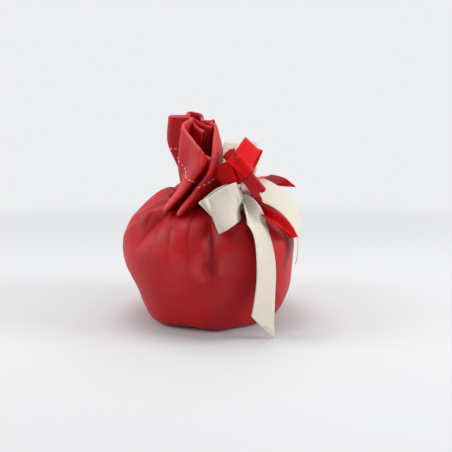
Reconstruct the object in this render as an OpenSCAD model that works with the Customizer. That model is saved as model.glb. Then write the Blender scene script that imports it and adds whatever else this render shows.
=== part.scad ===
// Leatherette gift sack: a round-based bag gathered at the neck, with a pleated
// ruffle, a bow of wide ribbed ribbon, a narrower satin bow and a small scroll.
// Millimetres, +Z up, +X to the right, the front of the sack towards -Y.
// The origin is the centre of the flat base, on the surface that it stands on.

/* [Sack body] */
// Radius of the flat round base
base_r = 42; // [38:1:46]
// Widest radius of the belly
belly_r = 68.5; // [64:0.5:72]
// Height of the widest part of the belly
belly_z = 58; // [52:1:62]
// Thickness of the leatherette with its lining
skin_t = 1.6; // [1.2:0.1:2]

/* [Neck] */
// Height of the middle of the tied neck
neck_z = 95; // [93:1:97]
// How far the neck stands in front of the base centre
neck_forward = 13; // [10:1:16]
// Lean of the neck towards the front, in degrees
neck_lean = 24; // [18:1:28]
// Outer radius of the leatherette where it is tied
neck_r = 13; // [12:0.5:14]

/* [Ruffle] */
// Length of the ruffle from the tie to the rim
ruffle_l = 57; // [50:1:62]
// Width of the hem that is folded inwards at the rim
hem_w = 24; // [18:1:28]
// Number of stitches round the hem
stitch_count = 36; // [20:1:48]

/* [Ribbons] */
// Width of the ribbed ribbon
wide_w = 25; // [22:0.5:26]
// Thickness of the ribbed ribbon
wide_t = 0.8; // [0.6:0.1:1]
// Width of the satin ribbon
satin_w = 15; // [13:0.5:16]
// Thickness of the satin ribbon
satin_t = 0.6; // [0.5:0.1:0.8]

/* [Scroll] */
// Length of the two rolls of the scroll
scroll_l = 36; // [32:1:38]
// Radius of each roll
roll_r = 2.7; // [2.4:0.1:3]

/* [Hidden] */

leather = [0.72, 0.11, 0.13];
ribbed = [0.88, 0.86, 0.8];
satin = [0.85, 0.04, 0.06];
thread = [0.93, 0.9, 0.84];

neck = [-2, -neck_forward, neck_z];
neck_x = [1, 0, 0];
neck_y = [0, cos(neck_lean), sin(neck_lean)];
neck_up = [0, -sin(neck_lean), cos(neck_lean)];
panel_steps = 16;
ruffle_steps = 40;
ruffle_rows = 7;
hem_gap = 0.45;
hem_sheet = 1;
stitch_lift = 0.45;
stitch_t = 0.6;

// A ring square to the neck, a distance along it from the middle of the tie
function neck_ring_at(up, radius) =
    [neck_z + up * cos(neck_lean), radius, neck_forward + up * sin(neck_lean), neck_lean];

// Rings of the body: height, radius, shift to the front, lean
body_rings = [
    [0, base_r + 1.4, 0, 0],
    [3, base_r + 6, 0, 0],
    [10, belly_r - 14.5, 0, 0],
    [20, belly_r - 9, 0, 0],
    [40, belly_r - 3, 0, 0],
    [belly_z, belly_r, 0, 0],
    [belly_z + 12, belly_r - 4, 0, 0],
    [belly_z + 22, belly_r - 10.5, 0, 0],
    [neck_z - 6, 47, 2, 4],
    [neck_z - 1, 36, 5, 10],
    [neck_z + 1.5, 26, 9, 18],
    neck_ring_at(-5.6, neck_r + 4),
    neck_ring_at(-4.9, neck_r),
    neck_ring_at(2.2, neck_r)];

// Folds of the ruffle at its rim: angle round the neck, reach, length as a share
folds = [[-20, 17, 0.94], [28, 16.5, 0.95], [62, 14, 0.96], [96, 26, 1], [124, 14, 0.98],
    [148, 27, 1], [172, 13, 1], [200, 19, 0.98], [238, 22, 0.95], [272, 31, 0.9],
    [290, 19, 0.76], [318, 19, 0.84], [340, 16.5, 0.94]];

function unit(v) = v / norm(v);
function blend(a, b, t) = a + (b - a) * t;
function ease(t) = t <= 0 ? 0 : t >= 1 ? 1 : t * t * (3 - 2 * t);

// A closed solid between two grids of points, the outer one and the inner one.
// Rows run anticlockwise and columns run upwards, seen from outside.
module slab(outer, inner) {
    rows = len(outer);
    cols = len(outer[0]);
    back = rows * cols;
    function at(side, r, c) = side * back + r * cols + c;
    points = concat([for (row = outer) each row], [for (row = inner) each row]);
    skins = [for (r = [0 : rows - 2]) for (c = [0 : cols - 2]) each [
        [at(0, r, c), at(0, r, c + 1), at(0, r + 1, c + 1)],
        [at(0, r, c), at(0, r + 1, c + 1), at(0, r + 1, c)],
        [at(1, r, c), at(1, r + 1, c + 1), at(1, r, c + 1)],
        [at(1, r, c), at(1, r + 1, c), at(1, r + 1, c + 1)]]];
    sides = [for (r = [0 : rows - 2]) each [
        [at(0, r, 0), at(0, r + 1, 0), at(1, r + 1, 0)],
        [at(0, r, 0), at(1, r + 1, 0), at(1, r, 0)],
        [at(0, r, cols - 1), at(1, r + 1, cols - 1), at(0, r + 1, cols - 1)],
        [at(0, r, cols - 1), at(1, r, cols - 1), at(1, r + 1, cols - 1)]]];
    ends = [for (c = [0 : cols - 2]) each [
        [at(0, 0, c), at(1, 0, c), at(1, 0, c + 1)],
        [at(0, 0, c), at(1, 0, c + 1), at(0, 0, c + 1)],
        [at(0, rows - 1, c), at(1, rows - 1, c + 1), at(1, rows - 1, c)],
        [at(0, rows - 1, c), at(0, rows - 1, c + 1), at(1, rows - 1, c + 1)]]];
    polyhedron(points, concat(skins, sides, ends), convexity = 10);
}

// A point of a body ring at an angle round it, a distance in from its outside
function ring_point(i, angle, inset) =
    let (ring = body_rings[i])
    let (before = body_rings[max(i - 1, 0)])
    let (after = body_rings[min(i + 1, len(body_rings) - 1)])
    let (slope = unit([after[0] - before[0], before[1] - after[1]]))
    let (out = i == 0 ? [1, 0] : i == len(body_rings) - 1 ? [1, 0] : slope)
    let (radius = ring[1] - inset * out[0])
    let (lean = ring[3])
    [radius * cos(angle) + neck[0] * lean / neck_lean,
        radius * sin(angle) * cos(lean) - ring[2],
        ring[0] - inset * out[1] + radius * sin(angle) * sin(lean)];

module body_panel(start) {
    function grid(inset) = [for (k = [0 : panel_steps])
        [for (i = [len(body_rings) - 1 : -1 : 0])
            ring_point(i, start + 180 * k / panel_steps, inset)]];
    color(leather) slab(grid(0), grid(skin_t));
}

module front_panel() { body_panel(180); }

module back_panel() { body_panel(0); }

module base_panel() { color(leather) cylinder(h = skin_t, r = base_r - 0.6, $fn = 96); }

// The fold table read at any angle, eased between one fold and the next
function turn_into(angle) = angle < folds[0][0] ? turn_into(angle + 360)
    : angle >= folds[0][0] + 360 ? turn_into(angle - 360) : angle;
function fold_span(angle, k) = k == len(folds) - 1 || angle < folds[k + 1][0] ? k
    : fold_span(angle, k + 1);
function fold_value(angle, item) =
    let (a = turn_into(angle))
    let (k = fold_span(a, 0))
    let (next = (k + 1) % len(folds))
    let (far = folds[next][0] + (next == 0 ? 360 : 0))
    let (t = (a - folds[k][0]) / (far - folds[k][0]))
    blend(folds[k][item], folds[next][item], ease(t));

// A point of the ruffle: angle, share of the way to the rim, distance outwards
function ruffle_point(angle, rise, outset) =
    let (flare = ease(rise * 2.4))
    let (reach = blend(neck_r - 3, fold_value(angle, 1), flare) + outset)
    let (height = rise * ruffle_l * blend(1, fold_value(angle, 2), ease(rise)))
    neck + reach * cos(angle) * neck_x + reach * sin(angle) * neck_y + height * neck_up
        + rise * [-1, -3, 0];

module ruffle_patch(from, to, low, high, inset, outset, steps, rows) {
    function grid(shift) = [for (k = [0 : steps])
        [for (j = [rows : -1 : 0])
            ruffle_point(blend(from, to, k / steps), blend(low, high, j / rows), shift)]];
    slab(grid(outset), grid(inset));
}

seam_angle = 172;
hem_share = hem_w / ruffle_l;

module front_ruffle() {
    color(leather)
        ruffle_patch(seam_angle, seam_angle + 180, 0.04, 1, -skin_t, 0, ruffle_steps, ruffle_rows);
}

module back_ruffle() {
    color(leather)
        ruffle_patch(seam_angle - 180, seam_angle, 0.04, 1, -skin_t, 0, ruffle_steps, ruffle_rows);
}

module rim_hem() {
    outside = -skin_t - hem_gap;
    color(leather) {
        ruffle_patch(seam_angle + 3, seam_angle + 177, 1 - hem_share, 0.995,
            outside - hem_sheet, outside, ruffle_steps, 3);
        ruffle_patch(seam_angle - 177, seam_angle - 3, 1 - hem_share, 0.995,
            outside - hem_sheet, outside, ruffle_steps, 3);
    }
}

module hem_stitches() {
    line = 1 - hem_share;
    pitch = 360 / stitch_count;
    color(thread) for (k = [0 : stitch_count - 1])
        ruffle_patch(seam_angle + pitch * (k + 0.2), seam_angle + pitch * (k + 0.8),
            line, line + 0.014, stitch_lift, stitch_lift + stitch_t, 2, 1);
}

// Two seam allowances that stand into the mouth from the side seam
module seam_allowances() {
    function wall(shift) = [for (reach = [0 : 3])
        [for (rise = [0.97, 0.8, 0.62])
            ruffle_point(seam_angle + shift, rise, -skin_t - hem_gap - 2.6 - reach * 2.6)
                + [0, 0, 0.8 * shift * (1 - reach / 3) / 10]]];
    color(leather) {
        slab(wall(4), wall(12));
        slab(wall(-12), wall(-4));
    }
}

// Half-width vectors are set by hand for ribbons of these stock widths
wide_stock = 25;
satin_stock = 15;

// A flat ribbon through hand-placed points, each with its half-width vector
module ribbon(stops, thickness, widening) {
    last = len(stops) - 1;
    function lead(i) = stops[min(i + 1, last)][0] - stops[max(i - 1, 0)][0];
    function face(i) = unit(cross(stops[i][1], lead(i)));
    function side(shift) = [for (i = [0 : last])
        [for (edge = [-widening, widening])
            stops[i][0] + edge * stops[i][1] + shift * face(i)]];
    slab(side(thickness / 2), side(-thickness / 2));
}

// A closed bow loop: from its root, along a direction, with a gap between plies
module bow_loop(root, far, root_half, far_half, gap, thickness, widening) {
    along = far - root;
    across = unit(cross(far_half, along));
    function at(turn) = root + along * (1 - cos(turn)) / 2
        + across * gap / 2 * sin(turn) * pow(sin(turn / 2), 0.6);
    function half(turn) = blend(root_half, far_half, ease((1 - cos(turn)) / 2));
    ribbon([for (k = [0 : loop_steps])
        let (turn = blend(loop_root_turn, 360 - loop_root_turn, k / loop_steps))
        [at(turn), half(turn)]], thickness, widening);
}

loop_steps = 14;
loop_root_turn = 24;
bow_turn = -47;
bow_out = [cos(bow_turn), sin(bow_turn), 0];
ribbed_root = [25, -42, 98];
satin_root = [21, -37, 114];

module neck_ring(inner, wall, height) {
    translate(neck) rotate([neck_lean, 0, 0])
        rotate_extrude($fn = 96) translate([inner, -height / 2]) square([wall, height]);
}

ribbed_wrap_t = 1.4;
satin_wrap_t = 0.8;

module ribbed_wrap() { color(ribbed) neck_ring(neck_r + 0.6, ribbed_wrap_t, 9); }

module satin_wrap() {
    color(satin) neck_ring(neck_r + ribbed_wrap_t + 0.8, satin_wrap_t, 6);
}

module ribbed_knot() {
    color(ribbed) hull() {
        translate(neck + 22 * bow_out) sphere(r = 4.5, $fn = 24);
        translate(ribbed_root - 6.5 * bow_out) sphere(r = 5.5, $fn = 24);
    }
}

module ribbed_loop_left() {
    color(ribbed) bow_loop([24, -46.5, 98], [2.5, -66.5, 87],
        [0, -1.2, -9.6], [5.9, -2.4, -10.7], 8, wide_t, wide_w / wide_stock);
}

module ribbed_loop_back() {
    color(ribbed) bow_loop([24, -28, 105], [25.5, -5, 136.6],
        [8, 1, 0], [11.5, 1.2, 0], 11, wide_t, wide_w / wide_stock);
}

module ribbed_tail_front() {
    color(ribbed) ribbon([
        [[29, -47, 92], [3, 0, 0.7]],
        [[32, -52, 85], [5.5, 2, 0]],
        [[35.5, -58, 74], [7.5, 6, 0]],
        [[37.3, -61.7, 60], [7.5, 9, 0]],
        [[38, -62.5, 45], [7.3, 10, 0]],
        [[38, -64, 30], [8, 9.5, 0]],
        [[38, -65.5, 15], [8.5, 9, 0]],
        [[38.5, -65.5, 7], [8.5, 8, -5.8]]],
        wide_t, wide_w / wide_stock);
}

module ribbed_tail_right() {
    color(ribbed) ribbon([
        [[35, -36, 102.4], [4.2, 9.2, 5.4]],
        [[44, -33.5, 98.8], [4.3, 10.2, 5.6]],
        [[56.9, -31.5, 90.6], [4.8, 10.5, 4.4]],
        [[64.2, -30, 81.2], [4.7, 11, 2.3]],
        [[68.3, -28.5, 66.9], [3.5, 11.5, 1.1]],
        [[67.5, -27, 50.3], [2, 12, -1]]],
        wide_t, wide_w / wide_stock);
}

module satin_knot() {
    color(satin) hull() {
        translate(satin_root) sphere(r = 3.4, $fn = 20);
        translate(satin_root - [0, 0, 6]) sphere(r = 3.2, $fn = 20);
    }
}

module satin_loop_upper() {
    color(satin) bow_loop([25, -37.5, 118.5], [37, -28, 132.5],
        [4.2, -0.6, -5], [5.6, -1, -4.8], 6, satin_t, satin_w / satin_stock);
}

module satin_loop_lower() {
    color(satin) bow_loop([18, -41, 113], [10, -46.5, 109],
        [3.4, 0.6, -4.6], [3.8, 0.8, -5.8], 4, satin_t, satin_w / satin_stock);
}

module satin_tail_upper() {
    color(satin) ribbon([
        [[35.5, -26.5, 111], [-2, 4.4, -3]],
        [[41.5, -17, 112], [-3, 5, -4]],
        [[48.5, -8, 110.5], [-3.2, 5, -4.4]],
        [[56, 2, 106.5], [-3.2, 4.6, -4.8]],
        [[61, 7, 102], [-3.2, 4.2, -4.8]]],
        satin_t, satin_w / satin_stock);
}

module satin_tail_lower() {
    color(satin) ribbon([
        [[37.6, -46.5, 88], [0.6, -1.6, -3.6]],
        [[45.3, -47.5, 83.6], [0.5, -2.5, -5]],
        [[52.8, -46.5, 79], [0.2, -3.6, -6]],
        [[58.8, -45, 72.5], [0.2, -3.2, -5]],
        [[62.4, -43, 67], [0, -1.8, -3]]],
        satin_t, satin_w / satin_stock);
}

scroll_middle = [26.5, -50, 114];
scroll_dir = unit([23.3, -8, -29.5]);
scroll_side = unit(cross(scroll_dir, [0, 1, 0]));

// A bar that points along a direction, centred on a point
module along_scroll(centre) {
    turn = atan2(scroll_dir[1], scroll_dir[0]);
    tip = acos(scroll_dir[2]);
    translate(centre) rotate([0, tip, turn]) children();
}

module scroll_roll(side) {
    color(leather) along_scroll(scroll_middle + side * (roll_r + 0.15) * scroll_side)
        cylinder(h = scroll_l, r = roll_r, center = true, $fn = 48);
}

module scroll_upper_roll() { scroll_roll(1); }

module scroll_lower_roll() { scroll_roll(-1); }

module satin_band() {
    inner = 2 * roll_r + 0.6;
    color(satin) along_scroll(scroll_middle) rotate_extrude($fn = 64)
        translate([inner, -4]) square([0.8, 8]);
}

front_panel();
back_panel();
base_panel();
front_ruffle();
back_ruffle();
rim_hem();
hem_stitches();
seam_allowances();
ribbed_wrap();
ribbed_knot();
ribbed_loop_left();
ribbed_loop_back();
ribbed_tail_front();
ribbed_tail_right();
satin_wrap();
satin_knot();
satin_loop_upper();
satin_loop_lower();
satin_tail_upper();
satin_tail_lower();
scroll_upper_roll();
scroll_lower_roll();
satin_band();
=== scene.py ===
"""A leatherette gift sack with a ribbed ribbon bow, a satin bow and a small scroll.

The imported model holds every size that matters. This script dresses it: the leatherette is one
continuous sheet from the base to the rim of the ruffle, and the ribbons are woven strips.
Sizes are in millimetres and are turned into metres when a mesh is made.
"""
import logging
import math
from dataclasses import dataclass, field
from enum import Enum

import bmesh
import bpy
import numpy as np
from mathutils import Matrix, Vector


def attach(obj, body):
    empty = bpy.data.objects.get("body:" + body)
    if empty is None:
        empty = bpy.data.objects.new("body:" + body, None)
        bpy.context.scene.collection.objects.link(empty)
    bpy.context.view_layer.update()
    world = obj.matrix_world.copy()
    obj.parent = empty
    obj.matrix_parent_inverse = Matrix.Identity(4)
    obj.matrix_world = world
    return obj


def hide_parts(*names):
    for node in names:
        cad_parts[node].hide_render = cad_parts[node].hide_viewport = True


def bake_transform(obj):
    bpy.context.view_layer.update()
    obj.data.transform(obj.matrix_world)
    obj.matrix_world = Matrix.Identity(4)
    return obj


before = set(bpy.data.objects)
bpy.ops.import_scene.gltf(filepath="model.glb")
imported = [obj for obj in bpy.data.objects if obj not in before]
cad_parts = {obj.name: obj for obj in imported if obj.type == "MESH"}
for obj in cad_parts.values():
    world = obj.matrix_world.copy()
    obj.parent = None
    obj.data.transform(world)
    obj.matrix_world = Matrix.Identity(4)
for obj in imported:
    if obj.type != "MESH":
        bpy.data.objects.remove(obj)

MM = 0.001
ROOM_TONE = (0.97, 0.98, 1.0)
# A full turn for each millimetre, on a ribbon map whose unit is 100 mm
MAP_TURN = 628.3185
LOG = logging.getLogger("gift_sack")
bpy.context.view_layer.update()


# ---------------------------------------------------------------- small geometry helpers

def ease(t: np.ndarray) -> np.ndarray:
    """Smooth step from 0 to 1."""
    t = np.clip(t, 0.0, 1.0)
    return t * t * (3.0 - 2.0 * t)


def unit(v: np.ndarray) -> np.ndarray:
    """Vectors along the last axis, each brought to length 1."""
    return v / np.maximum(np.linalg.norm(v, axis=-1, keepdims=True), 1e-9)


def through(stops: np.ndarray, at: np.ndarray, closed: bool = False) -> np.ndarray:
    """Smooth curve through evenly numbered stops.

    Args:
        stops: one row for each stop, with any number of values.
        at: positions along the curve, counted in stops.
        closed: whether the curve runs on from the last stop to the first.

    Returns:
        One row for each position.
    """
    stops = np.asarray(stops, float)
    count = len(stops)
    first = np.floor(at).astype(int)
    if not closed:
        first = np.clip(first, 0, count - 2)
    t = (at - first)[:, None]

    def stop(index: np.ndarray) -> np.ndarray:
        """Stops at these indices, wrapped or held at the ends."""
        return stops[index % count] if closed else stops[np.clip(index, 0, count - 1)]

    a, b, c, d = stop(first - 1), stop(first), stop(first + 1), stop(first + 2)
    return 0.5 * (2 * b + (c - a) * t + (2 * a - 5 * b + 4 * c - d) * t ** 2
                  + (3 * b - a - 3 * c + d) * t ** 3)


def along_rows(rows: np.ndarray, count: int) -> np.ndarray:
    """Runs a smooth curve up each column of a net and samples it at even steps.

    Args:
        rows: the net, rows by columns by 3.
        count: how many samples each column gets.

    Returns:
        Samples by columns by 3, evenly spaced by the mean length of the columns.
    """
    gaps = np.linalg.norm(np.diff(rows, axis=0), axis=2).mean(axis=1)
    knots = np.concatenate([[0.0], np.cumsum(gaps)])
    slopes = np.empty_like(rows)
    steps = np.diff(rows, axis=0) / gaps[:, None, None]
    slopes[0], slopes[-1] = steps[0], steps[-1]
    w = (gaps[:-1] / (gaps[:-1] + gaps[1:]))[:, None, None]
    slopes[1:-1] = steps[:-1] * (1 - w) + steps[1:] * w
    s = np.linspace(0, knots[-1], count)
    i = np.clip(np.searchsorted(knots, s, side="right") - 1, 0, len(gaps) - 1)
    h = gaps[i][:, None, None]
    t = ((s - knots[i]) / gaps[i])[:, None, None]
    return ((2 * t ** 3 - 3 * t ** 2 + 1) * rows[i] + (t ** 3 - 2 * t ** 2 + t) * h * slopes[i]
            + (3 * t ** 2 - 2 * t ** 3) * rows[i + 1] + (t ** 3 - t ** 2) * h * slopes[i + 1])


def normals(grid: np.ndarray, closed: bool) -> np.ndarray:
    """Outward unit normals of a grid whose columns run round and whose rows run up.

    Args:
        grid: rows by columns by 3.
        closed: whether the last column joins the first.

    Returns:
        Rows by columns by 3.
    """
    up = np.gradient(grid, axis=0)
    if closed:
        round_ = np.roll(grid, -1, axis=1) - np.roll(grid, 1, axis=1)
    else:
        round_ = np.gradient(grid, axis=1)
    return unit(np.cross(round_, up))


def new_piece(name: str, points: np.ndarray, faces: list, uv: np.ndarray | None = None,
              crest_and_tie_shade: np.ndarray | None = None) -> bpy.types.Object:
    """Makes a smooth mesh object at the origin.

    Args:
        name: the piece's name.
        points: its points, in millimetres.
        faces: its faces, as tuples of point numbers.
        uv: one pair of values for each point, for a UV map.
        crest_and_tie_shade: a mask for the leather's colour: painted highlight and rubbed wear where a
            point stands out, painted shade in hollows and round the tie.

    Returns:
        The new object.
    """
    mesh = bpy.data.meshes.new(name)
    mesh.from_pydata((np.asarray(points).reshape(-1, 3) * MM).tolist(), [], faces)
    mesh.polygons.foreach_set("use_smooth", np.ones(len(mesh.polygons), bool))
    if uv is not None:
        loops = np.empty(len(mesh.loops), np.int32)
        mesh.loops.foreach_get("vertex_index", loops)
        layer = mesh.uv_layers.new(name="UVMap")
        layer.data.foreach_set("uv", np.asarray(uv, np.float32).reshape(-1, 2)[loops].ravel())
    if crest_and_tie_shade is not None:
        mark = mesh.attributes.new("crest_and_tie_shade", "FLOAT", "POINT")
        mark.data.foreach_set("value", np.asarray(crest_and_tie_shade, np.float32).ravel())
    mesh.update()
    piece = bpy.data.objects.new(name, mesh)
    bpy.context.scene.collection.objects.link(piece)
    return piece


def soften(grid: np.ndarray, passes: int, share: np.ndarray | float = 1.0) -> np.ndarray:
    """Rounds a closed grid along its rows.

    Args:
        grid: rows by columns by 3.
        passes: how many times each point moves half way to the middle of its neighbours.
        share: how much of the change each row takes, 0 to 1.

    Returns:
        The rounded grid.
    """
    soft = grid
    for _ in range(passes):
        soft = 0.5 * soft + 0.25 * (np.roll(soft, 1, axis=1) + np.roll(soft, -1, axis=1))
    return grid + (soft - grid) * share


def grid_faces(rows: int, cols: int, closed: bool = False) -> list:
    """Quads of a grid of points, wound to face outwards.

    Args:
        rows: rows of points, running up.
        cols: columns of points, running anticlockwise.
        closed: whether the last column joins the first.

    Returns:
        Tuples of four point numbers.
    """
    last = cols if closed else cols - 1
    return [(r * cols + c, r * cols + (c + 1) % cols, (r + 1) * cols + (c + 1) % cols,
             (r + 1) * cols + c) for r in range(rows - 1) for c in range(last)]


def sheet_map(rows: int, cols: int) -> np.ndarray:
    """A map that runs from 0 to 1 across the columns and up the rows."""
    return np.stack(np.meshgrid(np.linspace(0, 1, cols), np.linspace(0, 1, rows)), axis=-1)


def deselect() -> None:
    """Deselects every object."""
    for other in bpy.context.selected_objects:
        other.select_set(False)


def only(piece: bpy.types.Object) -> None:
    """Makes one object the only one that is selected and active."""
    deselect()
    piece.select_set(True)
    bpy.context.view_layer.objects.active = piece


def apply_modifiers(piece: bpy.types.Object) -> None:
    """Applies every modifier of a piece in order."""
    only(piece)
    for modifier in list(piece.modifiers):
        bpy.ops.object.modifier_apply(modifier=modifier.name)


def join(name: str, pieces: list) -> bpy.types.Object:
    """Joins pieces into one, under a new name."""
    only(pieces[0])
    for piece in pieces:
        piece.select_set(True)
    bpy.ops.object.join()
    pieces[0].name = name
    return pieces[0]


def thicken(piece: bpy.types.Object, thickness: float, offset: float = -1.0,
            rim: float = 0.0) -> None:
    """Gives a sheet its real thickness, with softly rounded raw edges.

    Args:
        piece: the sheet.
        thickness: in millimetres.
        offset: -1 grows inwards, 0 both ways, 1 outwards.
        rim: width of a bevel on the raw edges, in millimetres, or 0 for none.
    """
    wall = piece.modifiers.new("wall", "SOLIDIFY")
    wall.thickness = thickness * MM
    wall.offset = offset
    wall.use_even_offset = False
    if rim:
        bevel = piece.modifiers.new("edge", "BEVEL")
        bevel.width = rim * MM
        bevel.segments = 2
        bevel.limit_method = "ANGLE"
        bevel.angle_limit = math.radians(60)
    apply_modifiers(piece)


# ---------------------------------------------------------------- leatherette

@dataclass(frozen=True)
class NeckFrame:
    """The place and lean of the tied neck, read once and shared by what hangs on it."""

    centre: tuple = (-2.0, -13.0, 95.0)
    lean: float = 24.0

    def axes(self) -> np.ndarray:
        """Right, back and up of the neck, as three rows."""
        a = math.radians(self.lean)
        return np.array([[1, 0, 0], [0, math.cos(a), math.sin(a)],
                         [0, -math.sin(a), math.cos(a)]])

    def place(self, local: np.ndarray) -> np.ndarray:
        """Points given in the neck's own axes, in the row frame."""
        return np.asarray(self.centre) + np.asarray(local, float) @ self.axes()


class Side(Enum):
    """The two halves of the sack, each with its span of angles."""

    BACK = (0.0, 180.0)
    FRONT = (180.0, 360.0)


@dataclass(frozen=True)
class FoldLine:
    """One fold that runs from the tie to the rim of the ruffle, in the neck's own axes."""

    turn: float
    rim: tuple
    middle: tuple
    low: tuple
    drape: tuple
    tie: float


@dataclass(frozen=True)
class Crease:
    """A crease or a bulge on the shoulder, between two places given as angle and height."""

    top: tuple
    bottom: tuple
    rise: float
    width: float


@dataclass
class LeatherSkin:
    """The leatherette: one sheet from the base seam to the rim, gathered at the tie."""

    neck: NeckFrame = field(default_factory=NeckFrame)
    grid: np.ndarray | None = None
    angle: np.ndarray | None = None
    rim: np.ndarray | None = None
    columns: int = 540
    rows: int = 300
    wall: float = 1.2
    roll: float = 1.35
    rounding: int = 34
    facing: float = 24.0
    facing_wall: float = 0.9
    gather_count: int = 30
    # Height, radius, shift to the front and lean of each level of the body
    levels: tuple = (
        (0.0, 43.0, 0, 0), (1.2, 46.5, 0, 0), (5.0, 51.5, 0, 0), (12.0, 55.5, 0, 0),
        (22.0, 59.0, 0, 0), (34.0, 63.5, 0, 0), (46.0, 67.0, 0, 0), (57.0, 68.6, 0, 0),
        (66.0, 66.8, 0, 0), (75.0, 62.0, 0, 0), (83.0, 55.0, 1, 1.5), (89.5, 46.5, 3, 5),
        (94.5, 37.0, 6, 11), (96.8, 28.0, 9, 18))
    # Folds of the ruffle, anticlockwise from the right, as seen from above
    folds: tuple = (
        FoldLine(0, (6, 13, 52), (8, 8, 38), (8, 5, 21), (9, 3, 7), 9),
        FoldLine(24, (8, 21, 51), (11, 15, 37), (12, 10, 21), (13, 7, 6), 12),
        FoldLine(48, (0, 17, 53), (3, 13, 38), (4, 10, 21), (7, 9, 6), 9),
        FoldLine(72, (-1, 23.5, 55), (0, 20, 40), (2, 16, 22), (4, 13, 7), 12),
        FoldLine(94, (-9.6, 25.6, 56.4), (-9, 21.4, 41), (-6.6, 16.4, 23), (-2, 13.6, 7), 12),
        FoldLine(103, (-13.6, 23.6, 56.6), (-12.4, 19.8, 41), (-9.2, 15.2, 23), (-4, 13, 7), 12),
        FoldLine(122, (-13, 17, 57), (-12, 13.5, 42), (-10, 11, 24), (-8, 9.5, 7), 9),
        FoldLine(143, (-24.6, 15.6, 57.2), (-25.8, 11.8, 41.5), (-21.6, 11.2, 26), (-13.4, 8.8, 7), 12),
        FoldLine(153, (-24.8, 11.4, 57.6), (-26.2, 7.8, 41.5), (-22, 7.6, 26), (-13.7, 6.2, 7), 12),
        FoldLine(176, (-9.6, 8.2, 58), (-12, 4.5, 42), (-12, 3.5, 24), (-10, 2.5, 7), 8.5),
        FoldLine(197, (-15.4, -3, 57), (-17.4, -9, 42), (-18.5, -8, 26), (-15.5, -4.5, 8), 12),
        FoldLine(213, (-8.4, -19, 53.2), (-9.5, -20, 41), (-14, -16.5, 25), (-15, -11.5, 8), 10),
        FoldLine(225, (-2.4, -30.6, 50.8), (-4.6, -31, 42), (-15, -29, 24), (-26.5, -30, 5.6), 12),
        FoldLine(234, (0.8, -31, 49.4), (-0.8, -32.4, 40.5), (-11.2, -31.8, 23), (-23.2, -33.6, 5.4), 12),
        FoldLine(246, (4, -24.6, 41.5), (3, -21, 33), (-4.5, -17, 18), (-8, -12, 6.5), 8.5),
        FoldLine(258, (5.8, -26.2, 41.2), (2.6, -29.2, 33), (-7.6, -30.6, 20), (-17.8, -35.6, 5.6), 12),
        FoldLine(267, (8.6, -22, 43), (6.4, -27.6, 33.2), (-3.2, -31.6, 20), (-13.4, -37.6, 5.4), 12),
        FoldLine(292, (9.2, -10.5, 48.5), (11.5, -18, 34.5), (8, -21.5, 22), (1, -16.5, 7), 11),
        FoldLine(330, (9.8, 7.5, 53.5), (13.8, 1.5, 38), (13.5, -3.5, 21), (12.5, -5, 7), 12))
    creases: tuple = (
        Crease((232, 92), (207, 68), 5.2, 7), Crease((241, 92), (222, 62), -4.8, 6),
        Crease((250, 92), (246, 70), 2.2, 8), Crease((212, 92), (190, 74), -3.2, 6),
        Crease((196, 94), (176, 70), 3.0, 9), Crease((274, 92), (274, 44), -8.5, 8),
        Crease((260, 92), (262, 66), 1.6, 9), Crease((291, 92), (292, 66), 3.2, 9),
        Crease((305, 92), (302, 62), -3.4, 6), Crease((319, 90), (325, 58), 3.4, 9),
        Crease((335, 94), (338, 66), -3.0, 6), Crease((352, 95), (350, 64), 3.0, 10),
        Crease((8, 96), (4, 62), -3.4, 6), Crease((25, 98), (22, 70), 2.8, 9),
        Crease((42, 98), (46, 60), -3.2, 6), Crease((58, 100), (62, 72), 2.6, 9),
        Crease((77, 100), (72, 56), -3.4, 6), Crease((95, 100), (98, 70), 2.8, 10),
        Crease((112, 100), (118, 62), -3.2, 6), Crease((130, 98), (134, 74), 2.6, 9),
        Crease((147, 97), (142, 58), -3.4, 6), Crease((163, 96), (160, 70), 2.8, 9),
        Crease((180, 95), (176, 60), -2.6, 6))
    # Broad swells and hollows: angle, height, distance outwards, spread of both
    swells: tuple = (
        (196, 88, -5.0, 22, 12), (190, 60, -2.2, 25, 18), (192, 24, -3.6, 22, 14), (194, 8, -3.0, 24, 9),
        (346, 60, -2.6, 24, 18), (350, 22, 4.6, 24, 15), (352, 6, 2.0, 26, 8), (235, 30, 1.2, 20, 16),
        (262, 26, -1.2, 14, 20), (290, 68, 2.0, 12, 9), (272, 49, -2.4, 5, 5), (270, 44, 1.6, 6, 3.5),
        (40, 20, 2.4, 25, 15), (70, 64, 1.6, 18, 14), (110, 22, -2.0, 20, 14), (140, 60, 1.6, 20, 12))

    def turns(self) -> tuple:
        """Fold positions and the angle round the body for every column."""
        spans = np.array([f.rim for f in self.folds])
        gaps = np.linalg.norm(np.roll(spans, -1, axis=0) - spans, axis=1)
        body_gaps = np.diff([f.turn for f in self.folds] + [360.0]) * 0.8
        share = np.concatenate([[0.0], np.cumsum(gaps + body_gaps)])
        at = np.interp(np.arange(self.columns) / self.columns, share / share[-1],
                       np.arange(len(self.folds) + 1))
        angle = np.interp(at, np.arange(len(self.folds) + 1),
                          [f.turn for f in self.folds] + [360.0])
        return at, angle

    def body_ring(self, level: tuple, angle: np.ndarray) -> np.ndarray:
        """One level of the plain body.

        Args:
            level: height, radius, shift to the front and lean.
            angle: angles round the body, in degrees.

        Returns:
            One point for each angle.
        """
        height, radius, shift, lean = level
        a, tilt = np.radians(angle), math.radians(lean)
        side = self.neck.centre[0] * lean / self.neck.lean
        return np.stack([side + radius * np.cos(a), radius * np.sin(a) * math.cos(tilt) - shift,
                         height + radius * np.sin(a) * math.sin(tilt)], axis=1)

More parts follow.
